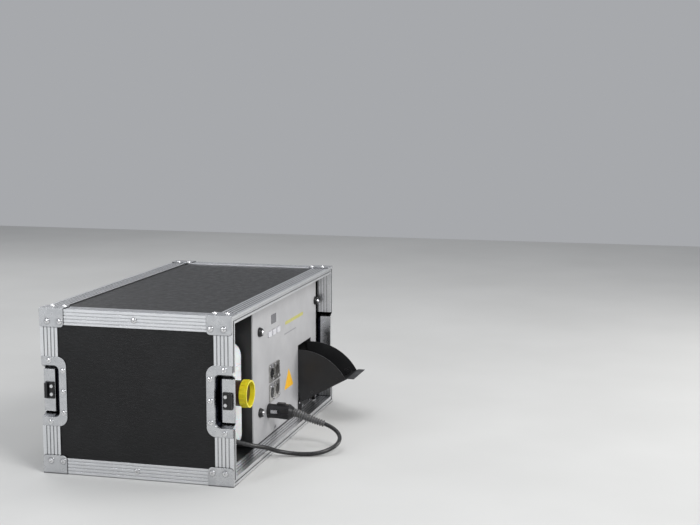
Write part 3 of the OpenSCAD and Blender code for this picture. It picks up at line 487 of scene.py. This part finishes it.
def moulded(name, colour, light, roughness=0.45, grain_mm=0.5, depth_mm=0.03, **sockets):
    """Moulded plastic with a fine spark-eroded texture."""
    look = Look(name, colour, roughness, **sockets)
    look.colour(look.blotches(12, 4, colour, light))
    look.uneven(5, 4, roughness - 0.06, roughness + 0.08)
    look.relief(look.noise(grain_mm, 3, 0.6), depth_mm, 0.6)
    return look.material


def bright_metal(name, colour, light, roughness=0.22):
    look = Look(name, colour, roughness, 1.0)
    look.colour(look.blotches(3, 5, colour, light))
    look.uneven(1.5, 4, roughness - 0.06, roughness + 0.14)
    look.relief(look.noise(0.4, 3), 0.01, 0.4, 0.25)
    return look.material


def rubber(name, colour=(0.014, 0.014, 0.015)):
    """Soft sheath with a faint matt bloom."""
    look = Look(name, colour, 0.32, Specular_IOR_Level=0.5)
    bloom = look.ramp(look.noise(9, 6, 0.65), 0.45, 0.8)
    look.colour(look.mix(bloom, colour, (0.035, 0.035, 0.036)))
    look.uneven(4, 4, 0.24, 0.4)
    look.relief(look.noise(0.35, 3), 0.02, 0.5, 0)
    return look.material


def boot_rubber():
    """Soft ribs, with painted shade darkening the slots between them and painted light on the ridges."""
    look = Look("boot_rubber", (0.03, 0.03, 0.03), 0.34, Specular_IOR_Level=0.6)
    # painted shade in the slots and painted light on the ridges, chosen by ambient occlusion
    ridge = look.ramp(look.open_to(2.4), 0.45, 0.85)
    look.colour(look.mix(ridge, (0.004, 0.004, 0.004), (0.1, 0.1, 0.102)))
    look.uneven(3, 4, 0.26, 0.42)
    look.relief(look.noise(0.35, 3), 0.02, 0.5, 0)
    return look.material


def polyethylene():
    """Blow-moulded translucent canister."""
    look = Look("polyethylene", (0.80, 0.81, 0.82), 0.4, Subsurface_Weight=0.25, Subsurface_Scale=0.004)
    flow = look.noise(40, 3, 0.5, (1, 0.25, 1))
    look.colour(look.mix(look.ramp(flow, 0.3, 0.7), (0.74, 0.75, 0.77), (0.84, 0.845, 0.85)))
    look.uneven(7, 4, 0.33, 0.5)
    wave = look.maths("ADD", look.noise(16, 2), look.maths("MULTIPLY", look.noise(0.9, 3), 0.08))
    look.relief(wave, 0.35, 0.35, 1.2)
    return look.material


def circuit_board():
    """Solder mask with rows of copper tracks under it."""
    look = Look("circuit_board", (0.015, 0.10, 0.04), 0.32)
    tracks = look.tree.nodes.new("ShaderNodeTexBrick")
    look.feed(tracks.inputs["Vector"], look.coords)
    look.feed(tracks.inputs["Scale"], 220.0)
    look.colour(look.mix(look.ramp(look.noise(8, 4), 0.4, 0.6), (0.010, 0.085, 0.032), (0.03, 0.16, 0.06)))
    look.relief(tracks.outputs["Fac"], 0.04, 0.5)
    return look.material


def mineral_wool():
    look = Look("mineral_wool", (0.62, 0.56, 0.42), 0.95)
    fibre = look.maths("ADD", look.noise(1.1, 6, 0.75, (1, 0.25, 1)), look.noise(5, 5, 0.7))
    look.colour(look.mix(look.ramp(look.noise(3, 6, 0.7), 0.3, 0.7), (0.46, 0.40, 0.28), (0.74, 0.69, 0.56)))
    look.relief(fibre, 0.8, 0.9, 0)
    return look.material


def hook_and_loop():
    look = Look("hook_and_loop", (0.02, 0.02, 0.022), 0.9, Sheen_Weight=0.4, Sheen_Roughness=0.5)
    pile = look.ramp(look.noise(0.8, 4), 0.4, 0.6)
    look.colour(look.mix(pile, (0.014, 0.014, 0.015), (0.045, 0.045, 0.048)))
    look.relief(look.cells(0.7), 0.35, 0.9, 0)
    return look.material


def tinted_window():
    """Display window with a darker field behind its gloss."""
    look = Look("tinted_window", (0.05, 0.05, 0.065), 0.12, Coat_Weight=0.6, Coat_Roughness=0.05)
    look.colour(look.mix(look.ramp(look.noise(6, 3), 0.4, 0.6), (0.045, 0.045, 0.06), (0.065, 0.065, 0.08)))
    look.uneven(8, 4, 0.08, 0.2)
    return look.material


def printed(name, colour, light):
    """Flat screen-printed ink."""
    look = Look(name, colour, 0.5)
    look.colour(look.blotches(4, 5, colour, light))
    look.relief(look.noise(0.5, 3), 0.02, 0.5, 0)
    return look.material


def wear(material, *names):
    for name in names:
        target = NODES[name] if name in NODES else bpy.data.objects[name]
        target.data.materials.clear()
        target.data.materials.append(material)


wear(laminate(), "bottom_panel", "top_panel", "left_side_panel", "right_side_panel")
wear(aluminium("aluminium_along_y", (1, 0.02, 1), 0.34), "edge_profiles")
wear(aluminium("aluminium_frame", (0.25, 1, 0.25)), "front_closing_profiles", "rear_closing_profiles")
wear(plated_steel("bracket_steel"), "corner_brackets")
wear(dish_steel(), "left_latch_dishes", "right_latch_dishes")
wear(rivet_metal(), "case_rivets")
wear(keeper_paint(), "latch_keepers")
wear(powder_coat("panel_paint", (0.40, 0.40, 0.41), (0.46, 0.46, 0.47), 0.48), "front_panel")
wear(
    powder_coat("chassis_paint", (0.014, 0.014, 0.015), (0.022, 0.022, 0.023), 0.5),
    "chassis_base", "chassis_left_side", "chassis_right_side", "chassis_cover", "rear_panel", "outlet_duct",
)
wear(
    powder_coat("flap_paint", (0.012, 0.012, 0.013), (0.022, 0.022, 0.023), 0.45, 0.35),
    "flap_plate", "flap_cheeks", "hinge_bracket", "flap_rivets",
)
wear(plated_steel("inner_steel"), "panel_rails", "mounting_brackets")
wear(
    bright_metal("screw_metal", (0.62, 0.62, 0.64), (0.76, 0.76, 0.78), 0.2),
    "panel_screws", "small_screws", "hinge_pin", "connector_latch", "upper_release_tab", "lower_release_tab",
)
wear(moulded("washer_plastic", (0.010, 0.010, 0.011), (0.02, 0.02, 0.021), 0.35), "cup_washers")
wear(
    moulded("key_plastic", (0.60, 0.60, 0.63), (0.68, 0.68, 0.71), 0.35, 0.4, 0.01),
    "left_key", "middle_key", "right_key",
)
wear(tinted_window(), "display_window")
wear(circuit_board(), "control_board", "power_board")
wear(socket_metal(), "female_sockets", "male_sockets")
wear(bright_metal("contact_gold", (0.72, 0.50, 0.18), (0.83, 0.62, 0.28), 0.18), "socket_pins")
wear(
    moulded("connector_plastic", (0.010, 0.010, 0.011), (0.02, 0.02, 0.022), 0.34),
    "mains_inlet", "power_connector",
)
wear(rubber("lead_rubber"), "mains_lead", "wall_plug")
wear(boot_rubber(), "ribbed_boot")
wear(rubber("hose_rubber", (0.018, 0.018, 0.018)), "fluid_tube")
wear(hook_and_loop(), "coil_tie")
wear(
    moulded("fan_plastic", (0.016, 0.016, 0.017), (0.028, 0.028, 0.03), 0.45),
    "fan_frame", "fan_rotor", "fluid_pump",
)
wear(bright_metal("cast_aluminium", (0.5, 0.5, 0.51), (0.62, 0.62, 0.63), 0.42), "heater_block")
wear(mineral_wool(), "heater_insulation")
wear(bright_metal("copper_tube", (0.62, 0.30, 0.17), (0.75, 0.42, 0.27), 0.25), "outlet_nozzle", "feed_tube")
wear(polyethylene(), "fluid_canister")
wear(
    moulded(
        "cap_plastic", (0.78, 0.66, 0.015), (0.86, 0.76, 0.04), 0.35, 0.6, 0.02,
        Subsurface_Weight=0.1, Subsurface_Scale=0.002,
    ),
    "canister_cap",
)
wear(moulded("adapter_plastic", (0.035, 0.014, 0.008), (0.06, 0.028, 0.016), 0.4), "suction_adapter")
wear(printed("triangle_ink", (0.85, 0.42, 0.02), (0.90, 0.55, 0.03)), "plain_triangle")
wear(printed("stripe_ink", (0.46, 0.44, 0.13), (0.54, 0.51, 0.17)), "plain_stripe")
wear(printed("line_ink", (0.24, 0.24, 0.26), (0.30, 0.30, 0.32)), "plain_line")

# ---------- pieces on the frame ----------

for piece, slot, body in (
    (lead, "cord_rubber", "case"),
    (boot, "cord_rubber", "case"),
    (hose, "hose_black", "case"),
    (feed, "copper", "case"),
    (triangle, "panel_grey", "case"),
    (stripe, "panel_grey", "case"),
    (line_mark, "panel_grey", "case"),
):
    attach(piece, body)
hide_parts("mains_cord", "cord_coil", "cord_tail")
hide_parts("strain_relief")
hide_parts("fluid_hose")
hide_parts("feed_pipe")

# ---------- floor and light ----------


FLOOR_SIZE = 6


def make_floor():
    bpy.ops.mesh.primitive_plane_add(size=FLOOR_SIZE, location=(0, 0, 0))
    floor = bpy.context.object
    floor.name = "floor"
    look = Look("floor_paint", (0.62, 0.62, 0.61), 0.9, Specular_IOR_Level=0.15)
    look.colour(look.mix(look.ramp(look.noise(400, 3), 0.3, 0.7), (0.60, 0.60, 0.59), (0.64, 0.64, 0.63)))
    floor.data.materials.append(look.material)


def make_light(name, place, target, size, power, colour=(1, 1, 1)):
    data = bpy.data.lights.new(name, "AREA")
    data.shape = "RECTANGLE"
    data.size, data.size_y = size
    data.energy = power
    data.color = colour
    light = bpy.data.objects.new(name, data)
    light.location = place
    light.rotation_euler = (Vector(target) - Vector(place)).to_track_quat("-Z", "Y").to_euler()
    bpy.context.collection.objects.link(light)


def make_world():
    world = bpy.data.worlds.new("studio")
    world.use_nodes = True
    background = world.node_tree.nodes["Background"]
    background.inputs["Color"].default_value = (0.86, 0.88, 0.92, 1)
    background.inputs["Strength"].default_value = 0.45
    bpy.context.scene.world = world


make_floor()
make_world()
bpy.context.scene.view_settings.view_transform = "Standard"
middle = (0, 0, CASE_H / 2 * MM)
make_light("key_light", (-1.3, -1.7, 1.7), middle, (1.0, 0.8), 34)
make_light("side_light", (-2.2, 0.9, 1.0), middle, (0.5, 1.4), 14, (0.96, 0.98, 1.0))
make_light("top_light", (0.3, 0.1, 2.3), middle, (1.6, 1.6), 16)
make_light("front_light", (0.9, -2.0, 0.55), (-0.15, -0.15, 0.13), (0.9, 0.7), 16, (1.0, 0.98, 0.95))
make_light("back_light", (1.6, 1.8, 1.5), middle, (1.2, 1.2), 8)
